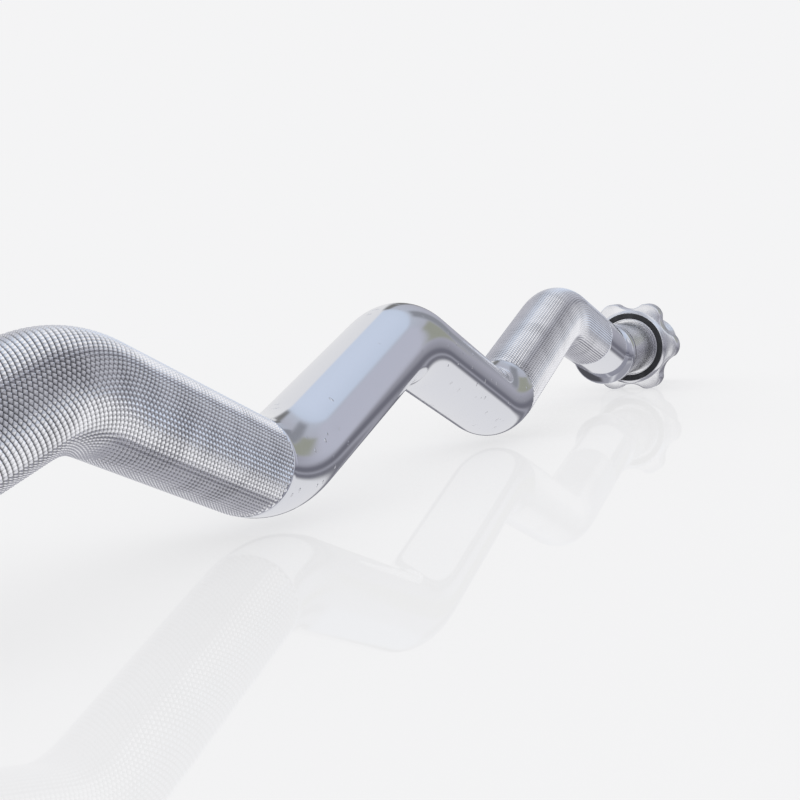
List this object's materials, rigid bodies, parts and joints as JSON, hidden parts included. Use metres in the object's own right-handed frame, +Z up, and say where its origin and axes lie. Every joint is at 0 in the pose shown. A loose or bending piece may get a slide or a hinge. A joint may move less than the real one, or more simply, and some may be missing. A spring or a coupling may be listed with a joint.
{
  "type": "ez curl bar",
  "caption": "Shallow W-shaped solid steel curl bar with knurled grips, smooth end sleeves, inner collars and lobed screw-on nuts with rubber rings.",
  "frame": {"origin": "middle of the bar's underside box: mid-length, on the sleeves' vertical centre plane, at the height of the nuts' lowest lobes", "axes": "+X along the sleeves to the right-hand end, +Z up so that the middle bend rises, +Y across the bar to the back"},
  "size_m": [1.194, 0.0526, 0.06],
  "materials": {
    "polished_chrome": "polished, with diamond knurling on the grips",
    "spring_steel": "dark, as rolled",
    "satin_plate": "satin plated casting",
    "black_rubber": "matt black"
  },
  "bodies": {
    "bar": {"shaft": "polished_chrome", "collar_right": "polished_chrome", "collar_left": "polished_chrome", "pin_right": "spring_steel", "pin_left": "spring_steel"},
    "seal_right": {"ring_right": "black_rubber"},
    "star_right": {"nut_right": "satin_plate"},
    "seal_left": {"ring_left": "black_rubber"},
    "star_left": {"nut_left": "satin_plate"}
  },
  "joints": [
    {"name": "nut_right_advance", "type": "slide", "parent": "bar", "child": "seal_right", "axis": [1, 0, 0], "range_m": [0, 0.102]},
    {"name": "nut_right_turn", "type": "hinge", "parent": "seal_right", "child": "star_right", "pos_m": [0.5105, 0, 0.02385], "axis": [1, 0, 0], "range_deg": [0, 12240]},
    {"name": "nut_left_advance", "type": "slide", "parent": "bar", "child": "seal_left", "axis": [-1, 0, 0], "range_m": [0, 0.102]},
    {"name": "nut_left_turn", "type": "hinge", "parent": "seal_left", "child": "star_left", "pos_m": [-0.5105, 0, 0.02385], "axis": [-1, 0, 0], "range_deg": [0, 12240]}
  ],
  "couplings": [
    {"joint": "nut_right_advance", "follows": "nut_right_turn", "m_per_rad": 0.00047746},
    {"joint": "nut_left_advance", "follows": "nut_left_turn", "m_per_rad": 0.00047746}
  ]
}
